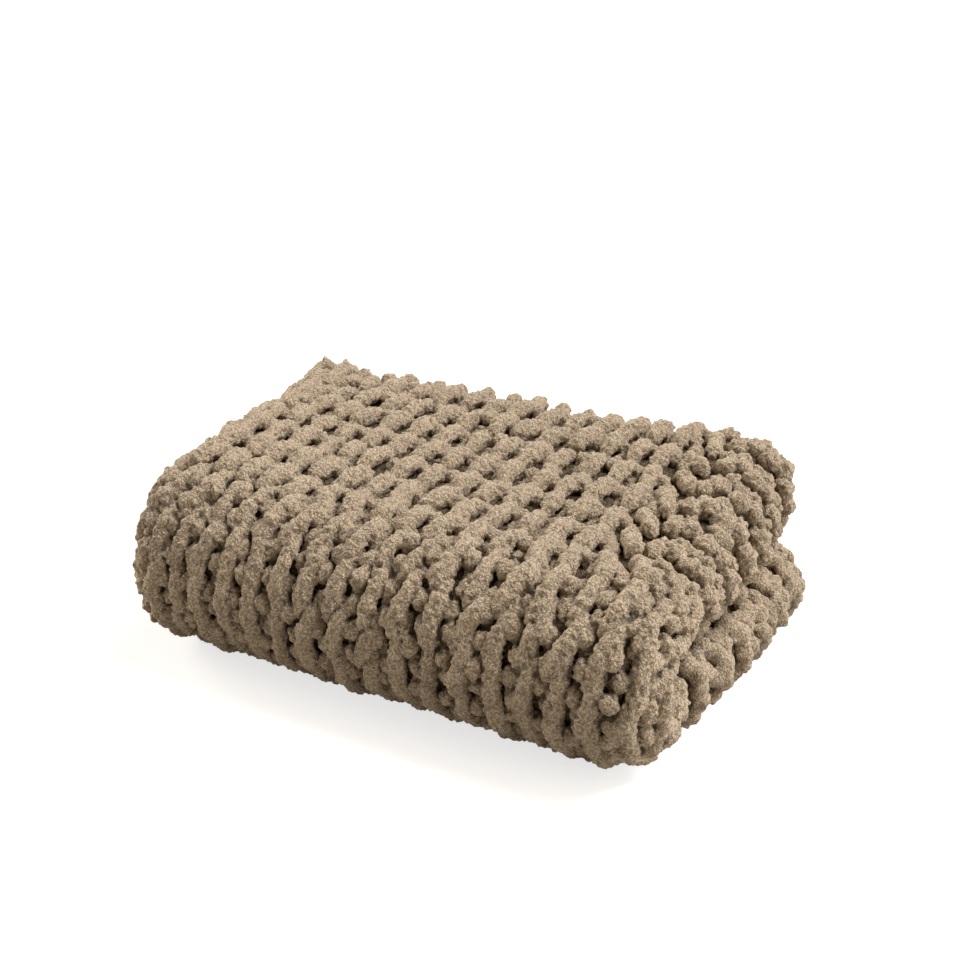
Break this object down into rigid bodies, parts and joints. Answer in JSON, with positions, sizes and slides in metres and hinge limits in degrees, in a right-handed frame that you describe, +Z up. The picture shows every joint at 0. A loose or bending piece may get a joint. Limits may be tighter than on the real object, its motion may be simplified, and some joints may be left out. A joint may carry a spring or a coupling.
{
  "type": "chunky knit throw blanket",
  "caption": "Thick chenille knit throw folded into a plump rounded stack, its broad fold at the front and layered edges behind",
  "frame": {"origin": "centre of the bounding box at the base, on the surface that the stack lies on", "axes": "+X along the spine toward the end with the rounded turns, +Y from the spine to the back, +Z up"},
  "size_m": [0.608, 0.4202, 0.2082],
  "materials": {
    "chenille": "matt"
  },
  "bodies": {
    "root": {"blanket": "chenille"}
  },
  "joints": []
}
